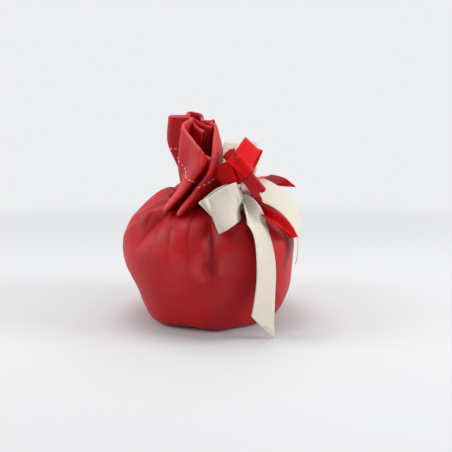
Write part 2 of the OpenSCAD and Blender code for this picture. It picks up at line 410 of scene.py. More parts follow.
    def tie_ring(self, at: np.ndarray, angle: np.ndarray, up: float, spread: float) -> np.ndarray:
        """The gathered ring under the ribbons.

        Args:
            at: fold positions.
            angle: angles round the neck, in degrees.
            up: distance along the neck.
            spread: how much wider than the tie the ring is, in millimetres.

        Returns:
            One point for each fold position.
        """
        reach = through(np.array([[f.tie] for f in self.folds]), at, closed=True)[:, 0] + spread
        a = np.radians(angle)
        return self.neck.place(np.stack([reach * np.cos(a), reach * np.sin(a),
                                         np.full_like(a, up)], axis=1))

    def relief(self, angle: np.ndarray, height: np.ndarray) -> np.ndarray:
        """How far the body stands out from its plain shape.

        Args:
            angle: angles round the body, in degrees.
            height: heights, in millimetres.

        Returns:
            Distances outwards, in millimetres.
        """
        out = np.zeros_like(height)
        for c in self.creases:
            drop = (c.top[1] - height) / (c.top[1] - c.bottom[1])
            centre = c.top[0] + (c.bottom[0] - c.top[0]) * np.clip(drop, -0.3, 1.3)
            away = (angle - centre + 180.0) % 360.0 - 180.0
            width = c.width * (0.8 + 0.9 * np.clip(drop, 0, 1.3))
            if c.rise < 0:
                shape = np.exp(-np.abs(away) / (0.75 * width)) - 0.25 * np.exp(-(away / width / 2.2) ** 2)
            else:
                shape = np.exp(-(away / width) ** 2)
            out += c.rise * shape * ease(1.45 - drop) * ease((drop + 0.5) * 2.0)
        for centre, level, rise, spread, tall in self.swells:
            away = (angle - centre + 180.0) % 360.0 - 180.0
            out += rise * np.exp(-(away / spread) ** 2 - ((height - level) / tall) ** 2)
        a = np.radians(angle)
        low = ease((40.0 - height) / 40.0)
        mid = np.exp(-((height - 55.0) / 22.0) ** 2)
        out += mid * (0.9 * np.cos(2 * a + 0.4) + 0.7 * np.cos(3 * a - 1.1) + 0.5 * np.cos(5 * a + 2.0))
        out += low * (0.6 * np.cos(5 * a + 0.5) + 0.9 * np.cos(3 * a + 2.1) + 0.5 * np.cos(8 * a - 0.6))
        return out

    def net(self) -> tuple:
        """The sheet without its thickness.

        Returns:
            The grid, rows by columns by 3, and the angle of each column.
        """
        at, angle = self.turns()
        rows = [self.body_ring(level, angle) for level in self.levels]
        rows.append(self.tie_ring(at, angle, -5.5, 6.0))
        rows.append(self.tie_ring(at, angle, -1.5, 0.0))
        rows.append(self.tie_ring(at, angle, 2.2, 0.0))
        for part in ("drape", "low", "middle", "rim"):
            stops = np.array([getattr(f, part) for f in self.folds], float)
            rows.append(self.neck.place(through(stops, at, closed=True)))
        grid = along_rows(np.array(rows), self.rows)
        grid = soften(grid, self.rounding, ease(self.along_neck(grid).mean(axis=1) / 6.0)[:, None, None])
        plain = normals(grid, closed=True)
        wide = np.broadcast_to(angle, grid.shape[:2])
        body = ease((8.0 - self.along_neck(grid)) / 10.0)
        grid = grid + plain * (self.relief(wide, grid[..., 2]) * body)[..., None]
        grid = grid + normals(grid, closed=True) * self.gathers(grid, wide)[..., None]
        grid[..., 2] = np.maximum(grid[..., 2], 0.0)
        return grid, angle

    def along_neck(self, grid: np.ndarray) -> np.ndarray:
        """Distance of each point along the neck from the middle of the tie."""
        return (grid - np.asarray(self.neck.centre)) @ self.neck.axes()[2]

    def gathers(self, grid: np.ndarray, angle: np.ndarray) -> np.ndarray:
        """Small gathers that run out of the tie on both sides.

        Args:
            grid: the sheet.
            angle: the angle of each of its points, in degrees.

        Returns:
            Distances outwards, in millimetres.
        """
        up = self.along_neck(grid)
        out = np.zeros_like(angle)
        rng = np.random.default_rng(11)
        for k in range(self.gather_count):
            centre = 360.0 / self.gather_count * k + rng.uniform(-4, 4)
            reach = rng.uniform(5, 17)
            deep = rng.uniform(0.5, 1.3)
            away = np.abs((angle - centre + 180.0) % 360.0 - 180.0)
            out -= deep * np.exp(-away / 2.2) * np.exp(-(np.abs(up) / reach) ** 1.5)
        return out

    def crests_with_tie_shade(self, grid: np.ndarray) -> np.ndarray:
        """How far each point stands out from the smoothed sheet, less a drop round the tie that paints
        shade into the leather there.
        """
        stands_out = np.einsum("rcx,rcx->rc", grid - soften(grid, 60), normals(grid, closed=True))
        return stands_out - 1.1 * np.exp(-(self.along_neck(grid) / 7.5) ** 2)

    def half(self, angle: np.ndarray, side: Side) -> np.ndarray:
        """Column numbers of one half of the sheet, with the column that closes it."""
        low, high = side.value
        chosen = np.where((angle >= low - 1e-6) & (angle <= high + 1e-6))[0]
        return np.append(chosen, 0 if side is Side.FRONT else chosen[-1] + 1)

    def rolled_rim(self, grid: np.ndarray) -> np.ndarray:
        """Rows that turn the rim inwards over a soft roll."""
        outward = unit(soften(normals(grid, closed=True)[-1:], 6)[0])
        rise = unit(grid[-1] - grid[-4])
        turns = np.pi * np.arange(1, 9) / 8
        return np.array([grid[-1] - outward * self.roll * (1 - math.cos(a)) + rise * self.roll * math.sin(a)
                         for a in turns])

    def build(self) -> list:
        """Makes the back and the front of the leatherette.

        Returns:
            The two pieces.
        """
        self.grid, self.angle = self.net()
        self.rim = self.rolled_rim(self.grid)
        full = np.concatenate([self.grid, self.rim])
        # The rolled rim takes a fixed crest value, which paints a highlight, with rubbed wear, along its
        # roll.
        crest_and_tie_shade = np.concatenate([self.crests_with_tie_shade(self.grid), np.full(self.rim.shape[:2], 0.5)])
        pieces = []
        for name, side in (("back_leather", Side.BACK), ("front_leather", Side.FRONT)):
            chosen = self.half(self.angle, side)
            part = full[:, chosen]
            shape = part.shape[:2]
            piece = new_piece(name, part, grid_faces(*shape), sheet_map(*shape), crest_and_tie_shade[:, chosen])
            thicken(piece, self.wall)
            pieces.append(piece)
        return pieces

    def depth_rows(self) -> np.ndarray:
        """Distance below the rim of every point, measured down the sheet."""
        steps = np.linalg.norm(np.diff(self.grid, axis=0), axis=2)
        below = np.cumsum(steps[::-1], axis=0)[::-1]
        return np.concatenate([below, np.zeros((1, self.columns))])

    def at_depth(self, points: np.ndarray, depth: float) -> np.ndarray:
        """One row of the sheet at a distance below the rim.

        Args:
            points: what to read, rows by columns by 3.
            depth: distance below the rim, in millimetres.

        Returns:
            One point for each column.
        """
        rows = self.depth_rows()
        row = np.array([np.interp(-depth, -rows[:, c], np.arange(len(rows)))
                        for c in range(self.columns)])
        low = np.clip(np.floor(row).astype(int), 0, len(points) - 2)
        share = (row - low)[:, None]
        column = np.arange(self.columns)
        return points[low, column] * (1 - share) + points[low + 1, column] * share

    def hem_facing(self) -> bpy.types.Object:
        """The turned-in hem: the inside wall that runs down from the roll of the rim."""
        inward = normals(self.grid, closed=True)
        rows = [self.rim[-1]]
        for depth in np.arange(1.0, self.facing + 0.1, 1.0):
            inside = self.at_depth(self.grid, depth) - unit(self.at_depth(inward, depth)) * 2.05 * self.roll
            rows.append(inside)
        grid = soften(np.array(rows), 14, np.minimum(np.arange(len(rows)) / 3.0, 1.0)[:, None, None])
        shape = grid.shape[:2]
        piece = new_piece("hem_facing", grid, grid_faces(*shape, closed=True), sheet_map(*shape),
                          np.zeros(shape))
        thicken(piece, self.facing_wall)
        return piece


@dataclass
class BaseDisc:
    """The round bottom that the sack stands on."""

    radius: float = 41.4
    thickness: float = 1.6
    rim: float = 0.5
    segments: int = 96

    def build(self) -> bpy.types.Object:
        """Models the disc, with a softened rim."""
        deselect()
        bpy.ops.mesh.primitive_circle_add(vertices=self.segments, radius=self.radius * MM, fill_type="NGON")
        disc = bpy.context.object
        disc.name = "base_disc"
        bpy.ops.object.mode_set(mode="EDIT")
        bpy.ops.mesh.select_all(action="SELECT")
        bpy.ops.mesh.inset(thickness=4.0 * MM)
        bpy.ops.mesh.inset(thickness=30.0 * MM)
        bpy.ops.mesh.select_all(action="SELECT")
        bpy.ops.mesh.normals_make_consistent(inside=False)
        bpy.ops.mesh.extrude_region_move(TRANSFORM_OT_translate={"value": (0, 0, self.thickness * MM)})
        bpy.ops.mesh.select_all(action="SELECT")
        bpy.ops.mesh.normals_make_consistent(inside=False)
        bpy.ops.object.mode_set(mode="OBJECT")
        edge = disc.modifiers.new("edge", "BEVEL")
        edge.width = self.rim * MM
        edge.segments = 3
        edge.limit_method = "ANGLE"
        apply_modifiers(disc)
        return disc


@dataclass
class HemStitches:
    """One row of machine stitches that holds the turned-in hem."""

    skin: LeatherSkin
    length: float = 2.3
    gap: float = 1.5
    radius: float = 0.27
    sunk: float = 0.1
    inset: float = 1.5
    rounding: float = 0.22

    def stitch(self) -> bpy.types.Object:
        """Models one stitch along X: a short thread that dives in at both ends."""
        deselect()
        bpy.ops.mesh.primitive_cylinder_add(vertices=8, radius=self.radius * MM, depth=self.length * MM,
                                            rotation=(0, math.pi / 2, 0))
        stitch = bpy.context.object
        bpy.ops.object.transform_apply(location=True, rotation=True, scale=True)
        bpy.ops.object.mode_set(mode="EDIT")
        bpy.ops.mesh.select_all(action="SELECT")
        bpy.ops.mesh.bisect(plane_co=(0.0, 0.0, 0.0), plane_no=(1, 0, 0))
        bpy.ops.object.mode_set(mode="OBJECT")
        for vertex in stitch.data.vertices:
            vertex.co.z -= 0.5 * self.radius * MM * (vertex.co.x / (0.5 * self.length * MM)) ** 2
        rounding = stitch.modifiers.new("ends", "BEVEL")
        rounding.width = self.rounding * MM
        rounding.segments = 1
        rounding.limit_method = "ANGLE"
        rounding.angle_limit = math.radians(50)
        apply_modifiers(stitch)
        return stitch

    def build(self) -> bpy.types.Object:
        """Copies the stitch all round the hem line and joins the copies."""
        depth = self.skin.facing - self.inset
        line = self.skin.at_depth(self.skin.grid, depth)
        out = unit(self.skin.at_depth(normals(self.skin.grid, closed=True), depth))
        run = np.linalg.norm(np.roll(line, -1, axis=0) - line, axis=1)
        where = np.concatenate([[0.0], np.cumsum(run)])
        count = int(where[-1] / (self.length + self.gap))
        model = self.stitch()
        copies = []
        for k in range(count):
            at = np.interp((k + 0.5) / count * where[-1], where, np.arange(len(where)))
            low = int(at) % len(line)
            high = (low + 2) % len(line)
            place = line[low] + out[low] * (self.radius * 0.5 - self.sunk)
            along = unit(line[high] - line[low - 2])
            up = unit(out[low] - along * float(out[low] @ along))
            turn = Matrix(np.stack([along, np.cross(up, along), up], axis=1).tolist()).to_4x4()
            copy = model.copy()
            copy.data = model.data.copy()
            copy.data.transform(Matrix.Translation(Vector((place * MM).tolist())) @ turn)
            bpy.context.scene.collection.objects.link(copy)
            copies.append(copy)
        bpy.data.objects.remove(model)
        return join("hem_stitches", copies)


@dataclass
class SeamFlaps:
    """Two folded seam allowances that stand into the mouth from the side seam."""

    neck: NeckFrame
    ends: tuple = (((-8.6, 6.6, 57.0), (0.4, -4.3, 52.3)), ((-8.0, 8.6, 58.0), (5.9, 4.3, 52.0)))
    drop: float = 24.0
    half_gap: float = 1.25
    wall: float = 0.8
    columns: int = 26

    def flap(self, start: tuple, end: tuple) -> bpy.types.Object:
        """One flap: a strip folded over its top edge, with a raw end that shows the fold.

        Args:
            start: where it leaves the seam, in the neck's own axes.
            end: its raw end, in the neck's own axes.

        Returns:
            The flap.
        """
        start, end = np.array(start), np.array(end)
        along = unit(end - start)
        side = unit(np.cross(along, (0.0, 0.0, 1.0)))
        down = unit(np.array((-0.12, -0.1, -1.0)))
        profile = [(-1.0, d) for d in np.linspace(self.drop, 0.0, 17)]
        profile += [(-math.cos(a), -math.sin(a) * 0.9) for a in np.linspace(0, math.pi, 11)[1:-1]]
        profile += [(1.0, d) for d in np.linspace(0.0, self.drop, 17)]
        rows = []
        for across, depth in profile:
            spread = 1.0 - 0.35 * max(depth, 0.0) / self.drop
            line = []
            for t in np.linspace(0, 1, self.columns):
                wave = 0.35 * math.sin(5.0 * t + 0.2 * depth)
                sag = 0.9 * math.sin(math.pi * t)
                reach = self.half_gap * (0.45 + 0.55 * float(ease(np.array(t * 2.0))))
                fall = depth * self.half_gap if depth < 0 else depth
                line.append(start + (end - start) * t + side * (across * reach * spread + wave)
                            + down * (fall + sag))
            rows.append(line)
        grid = self.neck.place(np.array(rows))
        shape = grid.shape[:2]
        piece = new_piece("flap", grid, grid_faces(*shape), sheet_map(*shape), np.zeros(shape))
        thicken(piece, self.wall, offset=0.0, rim=0.15)
        return piece

    def build(self) -> bpy.types.Object:
        """Makes both flaps and joins them at the seam."""
        return join("seam_flaps", [self.flap(*ends) for ends in self.ends])


# ---------------------------------------------------------------- ribbons

class Cut(Enum):
    """How the free end of a ribbon is cut, as the slant of the cut in degrees."""

    NONE = 0.0
    LEFT_LONGER = -40.0
    RIGHT_LONGER = 34.0


@dataclass
class Ribbon:
    """A woven ribbon along listed stops, each a middle point and a half-width vector."""

    name: str
    stops: tuple
    width: float = 25.0
    thickness: float = 0.42
    ribs: float = 0.0
    rib_pitch: float = 1.44
    pleats: float = 1.0
    bend: float = 1.0
    columns: int = 20
    step: float = 0.7
    end: Cut = Cut.NONE
    ripple: float = 0.0
    slack: float = 1.16
    length: float = 0.0

    def route(self) -> tuple:
        """Even samples of the middle line and the half-width vectors along it."""
        table = np.array([np.concatenate([p, h]) for p, h in self.stops], float)
        fine = through(table, np.linspace(0, len(table) - 1, 60 * (len(table) - 1)))
        steps = np.linalg.norm(np.diff(fine[:, :3], axis=0), axis=1)
        run = np.concatenate([[0.0], np.cumsum(steps)])
        self.length = float(run[-1])
        count = max(8, int(run[-1] / self.step))
        at = np.linspace(0, run[-1], count)
        even = np.stack([np.interp(at, run, fine[:, k]) for k in range(6)], axis=1)
        return at, even[:, :3], even[:, 3:]

    def sheet(self) -> tuple:
        """The middle surface of the ribbon.

        Returns:
            Distance along each row, place across each column, and the grid of points.
        """
        at, middle, half = self.route()
        lead = unit(np.gradient(middle, axis=0))
        half = half - lead * np.einsum("rx,rx->r", half, lead)[:, None]
        chord = np.minimum(np.linalg.norm(half, axis=1) * self.slack, self.width / 2)
        side, face = unit(half), unit(np.cross(lead, unit(half)))
        across = np.linspace(-1, 1, self.columns)
        spare = np.maximum(self.width / (2 * chord) - 1.0, 0.0)
        deep = 2 * chord / (math.pi * self.pleats) * np.sqrt(spare)
        folds = np.cos(self.pleats * math.pi * across)
        lift = self.bend * deep[:, None] * folds[None, :]
        lift = lift + self.ripple * np.sin(at / 7.0)[:, None] * (across ** 3)[None, :]
        grid = (middle[:, None] + side[:, None] * (chord[:, None] * across[None, :])[..., None]
                + face[:, None] * lift[..., None])
        return at, across, grid

    def build(self) -> bpy.types.Object:
        """Weaves both faces with their ribs, closes the edges and cuts the free end."""
        at, across, grid = self.sheet()
        out = normals(grid, closed=False)
        selvage = np.clip((1.0 - np.abs(across)) * self.width / 2 / 0.7, 0.0, 1.0)
        wave = 0.5 + 0.5 * np.cos(2 * math.pi * at / self.rib_pitch)
        bulge = self.ribs * np.sqrt(wave)[:, None] * (0.35 + 0.65 * selvage)[None, :]
        edge = 0.45 + 0.55 * np.sqrt(np.clip((1.0 - np.abs(across)) * self.columns / 2, 0.0, 1.0))
        offset = (self.thickness / 2 * edge[None, :] + bulge)[..., None] * out
        ring = np.concatenate([grid + offset, (grid - offset)[:, ::-1]], axis=1)
        rows, cols = ring.shape[:2]
        faces = grid_faces(rows, cols, closed=True)
        last = (rows - 1) * cols
        for c in range(self.columns - 1):
            back = cols - 1 - c
            faces.append((c, back, back - 1, c + 1))
            faces.append((last + c, last + c + 1, last + back - 1, last + back))
        along = np.repeat(at[:, None], cols, axis=1) / 100.0
        wide = np.concatenate([across, across[::-1]])[None, :].repeat(rows, 0) * self.width / 200.0
        piece = new_piece(self.name, ring, faces, np.stack([along, wide], axis=-1))
        self.finish_mesh(piece, grid)
        return piece

    def finish_mesh(self, piece: bpy.types.Object, grid: np.ndarray) -> None:
        """Turns the faces outwards and makes the slanting cut at the free end.

        Args:
            piece: the woven ribbon.
            grid: its middle surface.
        """
        shape = bmesh.new()
        shape.from_mesh(piece.data)
        bmesh.ops.recalc_face_normals(shape, faces=shape.faces)
        if self.end is not Cut.NONE:
            back = int(self.width * 0.5 * math.tan(math.radians(abs(self.end.value))) / self.step) + 2
            middle = grid.shape[1] // 2
            lead = unit(grid[-1, middle] - grid[-back, middle])
            side = unit(grid[-back, -1] - grid[-back, 0])
            slope = math.tan(math.radians(self.end.value))
            knife = unit(lead - side * slope)
            cut = bmesh.ops.bisect_plane(shape, geom=shape.verts[:] + shape.edges[:] + shape.faces[:],
                                         plane_co=(grid[-back, middle] * MM).tolist(),
                                         plane_no=knife.tolist(), clear_outer=True)
            rim = [e for e in cut["geom_cut"] if isinstance(e, bmesh.types.BMEdge)]
            bmesh.ops.holes_fill(shape, edges=rim, sides=0)
            bmesh.ops.recalc_face_normals(shape, faces=shape.faces)
        for face in shape.faces:
            face.smooth = len(face.verts) <= 4
        shape.to_mesh(piece.data)
        shape.free()


def wrap_stops(neck: NeckFrame, start: float, reach: tuple, up: float, half: tuple) -> tuple:
    """Stops of a turn round the neck.

    Args:
        neck: the tied neck.
        start: angle of the first stop, in degrees.
        reach: radius of the first stop, and how much each next one adds.
        up: distance along the neck.
        half: mean half-width, how much it swells, and how many times in a turn.

    Returns:
        Pairs of a middle point and a half-width vector.
    """
    stops = []
    for k in range(27):
        turn = math.radians(start + 15 * k)
        radius = reach[0] + reach[1] * k
        place = neck.place(np.array([radius * math.cos(turn), radius * math.sin(turn), up]))
        stops.append((place, neck.axes()[2] * (half[0] + half[1] * math.sin(half[2] * turn))))
    return tuple(stops)


def knot_stops(centre: tuple, deep: float, tall: float, half: float) -> tuple:
    """Stops of a short band wound round a knot that faces the front right.

    Args:
        centre: middle of the knot.
        deep: radius of the turn outwards from the sack.
        tall: radius of the turn upwards.
        half: half-width of the band.

    Returns:
        Pairs of a middle point and a half-width vector.
    """
    out, across = np.array((0.682, -0.731, 0.0)), np.array((0.731, 0.682, 0.0))
    stops = []
    for k in range(15):
        turn = math.radians(120 + 26 * k)
        place = np.array(centre) + out * deep * math.cos(turn) + np.array((0, 0, tall)) * math.sin(turn)
        stops.append((place, across * half))
    return tuple(stops)


@dataclass
class RibbedBow:
    """The cream ribbon: round the neck, in a knot, with two loops and two tails."""

    neck: NeckFrame
    width: float = 25.0

    def strip(self, name: str, stops: tuple, **extra: object) -> Ribbon:
        """One length of the ribbed ribbon."""
        return Ribbon(name, stops, width=self.width, thickness=0.42, ribs=0.12, step=0.24, **extra)

    def wrap(self) -> Ribbon:
        """The turn round the neck, gathered into three soft pleats."""
        stops = wrap_stops(self.neck, -60, (14.2, 0.04), 0.3, (4.8, 0.5, 3))
        return self.strip("ribbed_wrap_band", stops, pleats=3.0)

    def knot(self) -> Ribbon:
        """The short band that pinches the bow together."""
        stops = knot_stops((19.6, -36.0, 97.0), 6.0, 6.4, 5.4)
        return self.strip("ribbed_knot_band", stops, pleats=2.0)

    def left_loop(self) -> Ribbon:
        """The loop that lies to the left, flattened, with its fold hanging free."""
        return self.strip("ribbed_loop_lying", (
            ((21.5, -40.0, 98.0), (0.0, -1.2, -6.5)), ((18.0, -47.0, 96.0), (1.5, -1.2, -9.8)),
            ((13.2, -54.6, 92.4), (4.2, -2.0, -10.6)), ((8.0, -61.0, 88.4), (6.6, -2.8, -9.8)),
            ((5.0, -65.0, 86.4), (7.5, -3.0, -9.4)), ((5.2, -66.9, 86.2), (7.5, -3.1, -9.4)),
            ((8.6, -67.2, 87.9), (6.8, -3.0, -9.8)), ((14.0, -64.2, 91.4), (4.8, -2.8, -11.0)),
            ((18.8, -59.8, 94.0), (2.4, -1.6, -11.4)), ((22.3, -54.4, 95.6), (0.6, -0.6, -10.8)),
            ((23.4, -49.6, 96.4), (0.0, 0.4, -9.8)), ((22.4, -45.0, 97.2), (0.0, 0.6, -8.6)),
            ((20.6, -41.0, 98.4), (0.0, 0.0, -6.0))), bend=-1.0)

    def back_loop(self) -> Ribbon:
        """The loop that stands up behind the satin bow."""
        return self.strip("ribbed_loop_standing", (
            ((22.0, -32.0, 101.0), (6.2, 0.8, 0.0)), ((23.0, -27.5, 108.0), (8.6, 1.0, 0.0)),
            ((22.5, -20.5, 118.0), (10.6, 1.1, 0.0)), ((23.5, -12.5, 127.5), (11.6, 1.2, 0.0)),
            ((25.2, -6.2, 133.8), (12.0, 1.2, 0.0)), ((25.8, -2.4, 135.2), (12.1, 1.2, 0.0)),
            ((26.0, -0.6, 132.6), (12.0, 1.2, 0.0)), ((26.0, -2.8, 127.0), (11.8, 1.2, 0.0)),
            ((25.2, -9.6, 117.0), (10.8, 1.2, 0.0)), ((23.8, -18.0, 108.0), (9.0, 1.0, 0.0)),
            ((22.0, -27.0, 100.5), (6.2, 0.8, 0.0))))

    def front_tail(self) -> Ribbon:
        """The tail that falls down the front, past the belly, to the floor."""
        return self.strip("ribbed_tail_falling", (
            ((24.5, -43.5, 95.5), (2.2, 1.4, 1.6)), ((28.4, -48.6, 91.0), (3.0, 4.8, 1.4)),
            ((32.4, -53.8, 84.0), (4.7, 8.6, 0.8)), ((37.8, -58.6, 74.0), (5.8, 10.4, 0.0)),
            ((40.6, -61.8, 60.0), (6.4, 10.3, 0.0)), ((41.4, -63.4, 45.0), (6.9, 10.0, 0.0)),
            ((40.4, -64.8, 30.0), (7.7, 9.2, 0.0)), ((38.8, -66.0, 15.0), (8.0, 7.9, 0.0)),
            ((37.4, -66.6, 6.6), (7.9, 7.0, 0.0)), ((36.6, -66.8, 1.4), (7.9, 6.6, 0.0))),
            end=Cut.RIGHT_LONGER, ripple=0.3, bend=-1.0)

    def right_tail(self) -> Ribbon:
        """The tail that arches out to the right and hangs down edge-on."""
        return self.strip("ribbed_tail_arching", (
            ((24.0, -39.0, 100.4), (1.6, 4.6, 2.6)), ((35.0, -36.6, 102.6), (3.6, 8.6, 5.0)),
            ((44.4, -33.8, 99.4), (4.6, 10.1, 5.8)), ((54.0, -32.0, 93.4), (4.9, 10.3, 5.0)),
            ((61.6, -30.6, 85.0), (4.7, 10.9, 3.2)), ((66.4, -29.2, 75.0), (4.0, 11.5, 1.4)),
            ((68.4, -28.4, 64.4), (3.2, 11.8, 0.4)), ((67.8, -27.2, 52.6), (2.4, 12.0, -0.8)),
            ((66.8, -26.8, 48.0), (2.4, 12.0, -1.0))), end=Cut.LEFT_LONGER, bend=-1.0)


@dataclass
class SatinBow:
    """The red ribbon: round the neck, in a small bow that holds the scroll."""

    neck: NeckFrame
    width: float = 15.0

    def strip(self, name: str, stops: tuple, **extra: object) -> Ribbon:
        """One length of the satin ribbon."""
        return Ribbon(name, stops, width=self.width, thickness=0.34, columns=16, step=0.6, **extra)

    def wrap(self) -> Ribbon:
        """The turn round the neck, over the ribbed ribbon."""
        stops = wrap_stops(self.neck, -40, (16.9, 0.03), 1.2, (3.5, 0.4, 2))
        return self.strip("satin_wrap_band", stops, pleats=2.0)

    def knot(self) -> Ribbon:
        """The small knot behind the scroll."""
        stops = knot_stops((21.4, -38.6, 111.0), 3.4, 4.6, 3.8)
        return self.strip("satin_knot_band", stops, pleats=2.0)

    def stem(self) -> Ribbon:
        """The length that comes up from the neck into the small knot."""
        return self.strip("satin_stem", (
            ((13.5, -26.5, 97.0), (3.0, 2.8, 0.8)), ((17.0, -31.0, 101.5), (3.0, 2.8, 0.6)),
            ((20.0, -35.4, 106.0), (3.0, 2.8, 0.4)), ((22.0, -38.6, 111.5), (3.0, 2.8, 0.0))), pleats=2.0)

    def upper_loop(self) -> Ribbon:
        """The loop that stands up to the right, over its rounded fold."""
        return self.strip("satin_loop_standing", (
            ((19.8, -53.2, 116.8), (4.4, -1.4, -5.4)), ((23.6, -50.6, 121.0), (4.9, -1.4, -5.3)),
            ((27.6, -45.0, 126.0), (5.1, -1.4, -5.2)), ((31.2, -38.0, 131.0), (5.2, -1.4, -5.1)),
            ((32.8, -34.0, 133.2), (5.2, -1.4, -5.0)), ((33.6, -30.8, 133.4), (5.2, -1.4, -5.0)),
            ((33.4, -28.8, 131.2), (5.2, -1.4, -5.0)), ((31.0, -30.4, 125.6), (5.0, -1.2, -4.9)),
            ((27.4, -34.8, 118.4), (4.4, -1.0, -4.4)), ((23.6, -38.6, 112.4), (3.0, -0.6, -3.2))))

    def lower_loop(self) -> Ribbon:
        """The loop that is pressed down to the left, under the ruffle."""
        return self.strip("satin_loop_pressed", (
            ((18.8, -53.0, 115.6), (4.3, -1.4, -5.9)), ((15.6, -52.4, 114.2), (4.2, -1.2, -6.0)),
            ((12.4, -50.6, 111.6), (4.0, -0.8, -6.2)), ((10.4, -48.4, 109.0), (3.9, -0.2, -6.2)),
            ((9.6, -46.4, 107.4), (3.9, 0.2, -6.2)), ((10.4, -44.8, 107.6), (3.8, 0.6, -6.0)),
            ((13.6, -43.0, 109.2), (3.8, 0.6, -5.6)), ((18.0, -41.0, 111.0), (3.4, 0.6, -4.6)),
            ((21.0, -39.6, 112.0), (3.0, 0.4, -4.0))), bend=-1.0)

    def upper_tail(self) -> Ribbon:
        """The tail that runs back over the arching ribbed tail."""
        return self.strip("satin_tail_high", (
            ((27.6, -35.8, 108.6), (-1.4, 2.8, -1.6)), ((35.4, -26.6, 108.6), (-2.4, 4.8, -2.4)),
            ((41.5, -17.0, 108.8), (-3.4, 5.6, -2.6)), ((48.5, -8.0, 107.6), (-3.6, 5.6, -2.8)),
            ((56.0, 2.0, 104.5), (-3.6, 5.4, -3.2)), ((61.0, 7.0, 100.6), (-3.6, 5.0, -3.8)),
            ((64.0, 10.0, 98.0), (-3.6, 5.0, -3.8))), end=Cut.LEFT_LONGER)

    def lower_tail(self) -> Ribbon:
        """The tail that comes out between the two ribbed tails, folded along its middle."""
        return self.strip("satin_tail_low", (
            ((31.0, -41.6, 93.0), (0.6, -0.8, -2.2)), ((38.6, -45.0, 88.0), (0.8, -1.8, -3.6)),
            ((45.5, -48.4, 83.4), (0.8, -2.4, -4.2)), ((52.8, -47.8, 78.2), (0.8, -2.6, -4.4)),
            ((58.8, -46.2, 71.8), (0.8, -2.6, -4.4)), ((62.4, -44.0, 66.0), (0.8, -2.2, -4.2)),
            ((64.0, -43.0, 63.0), (0.8, -2.2, -4.2))), end=Cut.LEFT_LONGER)


@dataclass
class Scroll:
    """A strip of leatherette rolled up from both ends, with a satin band round its middle."""

    middle: tuple = (26.5, -50.0, 114.0)
    lead: tuple = (0.606, -0.208, -0.767)
    length: float = 36.0
    radius: float = 2.6
    core: float = 0.7
    turns: float = 2.25
    wall: float = 0.45

    def axes(self) -> np.ndarray:
        """Across the rolls, out from the sack and along the rolls, as three rows."""
        lead = unit(np.array(self.lead))
        side = unit(np.cross(lead, (0.0, 1.0, 0.0)))
        return np.stack([side, np.cross(side, lead), lead])

    def place(self, local: np.ndarray) -> np.ndarray:
        """Points given in the scroll's own axes, in the row frame."""
        return np.asarray(self.middle) + np.asarray(local, float) @ self.axes()

    def section(self) -> np.ndarray:
        """The rolled-up cross section, as one line of points."""
        steps = np.linspace(0.0, 1.0, 64)
        reach = self.core + (self.radius - self.core) * steps
        turn = -math.pi / 2 - 2 * math.pi * self.turns * (1 - steps)
        spiral = np.stack([self.radius + 0.2 + reach * np.cos(turn), reach * np.sin(turn)], axis=1)
        mirrored = spiral[::-1] * np.array([-1.0, 1.0])
        return np.concatenate([spiral, mirrored])

    def rolls(self) -> bpy.types.Object:
        """Sweeps the section along the scroll, with its ends a little uneven."""
        section = self.section()
        rows = []
        for t in np.linspace(-1, 1, 30):
            swell = 1.0 - 0.06 * (1 - abs(t)) * 1.6
            uneven = 0.5 * np.sin(np.linspace(0, 9, len(section))) * t * t
            along = t * self.length / 2 + uneven
            rows.append(np.column_stack([section[:, 0] * swell, section[:, 1] * swell, along]))
        grid = self.place(np.array(rows))
        shape = grid.shape[:2]
        piece = new_piece("scroll_rolls", grid, grid_faces(*shape), sheet_map(*shape), np.zeros(shape))
        thicken(piece, self.wall, offset=0.0, rim=0.08)
        return piece

    def band(self, bow: SatinBow) -> Ribbon:
        """The satin band that lies round both rolls."""
        stops = []
        for k in range(29):
            turn = math.radians(-110 + 13.5 * k)
            flat = 1.0 + 0.12 * math.sin(turn) ** 2
            reach = 0.012 * k
            local = ((5.9 + reach) * math.cos(turn) * flat, (3.3 + reach) * math.sin(turn), -4.0)
            stops.append((self.place(np.array(local)), self.axes()[2] * 7.5))
        return bow.strip("satin_band_round_scroll", tuple(stops))


# ---------------------------------------------------------------- finishes

class Tree:
    """A node tree, with short calls that add nodes and join them."""

    def __init__(self, tree: bpy.types.NodeTree) -> None:
        """Keeps the tree."""
        self.tree = tree

    def set(self, socket: bpy.types.NodeSocket, value: object) -> None:
        """Gives a socket a value, or joins it to another socket."""
        if isinstance(value, bpy.types.NodeSocket):
            self.tree.links.new(value, socket)
        elif isinstance(value, tuple) and len(value) == 3 and socket.type == "RGBA":
            socket.default_value = (*value, 1.0)
        else:
            socket.default_value = value

    def add(self, kind: str, inputs: dict | None = None, **settings: object) -> bpy.types.Node:
        """Adds a node.

        Args:
            kind: the node's type, without its ShaderNode prefix.
            inputs: socket names or numbers, each with a value or a socket.
            settings: the node's own settings.

        Returns:
            The node.
        """
        node = self.tree.nodes.new("ShaderNode" + kind)
        for key, value in settings.items():
            setattr(node, key, value)
        for key, value in (inputs or {}).items():
            self.set(node.inputs[key], value)
        return node

    def maths(self, operation: str, *values: object) -> bpy.types.NodeSocket:
        """One sum, product or other maths step."""
        node = self.add("Math", dict(enumerate(values)), operation=operation)
        return node.outputs[0]

    def mix(self, share: object, first: object, second: object) -> bpy.types.NodeSocket:
        """A mix of two colours."""
        node = self.add("Mix", {0: share, 6: first, 7: second}, data_type="RGBA")
        return node.outputs[2]

    def ramp(self, value: object, low: float, high: float) -> bpy.types.NodeSocket:
        """A value stretched so that low becomes 0 and high becomes 1."""
        node = self.add("MapRange", {"Value": value, "From Min": low, "From Max": high})
        return node.outputs[0]


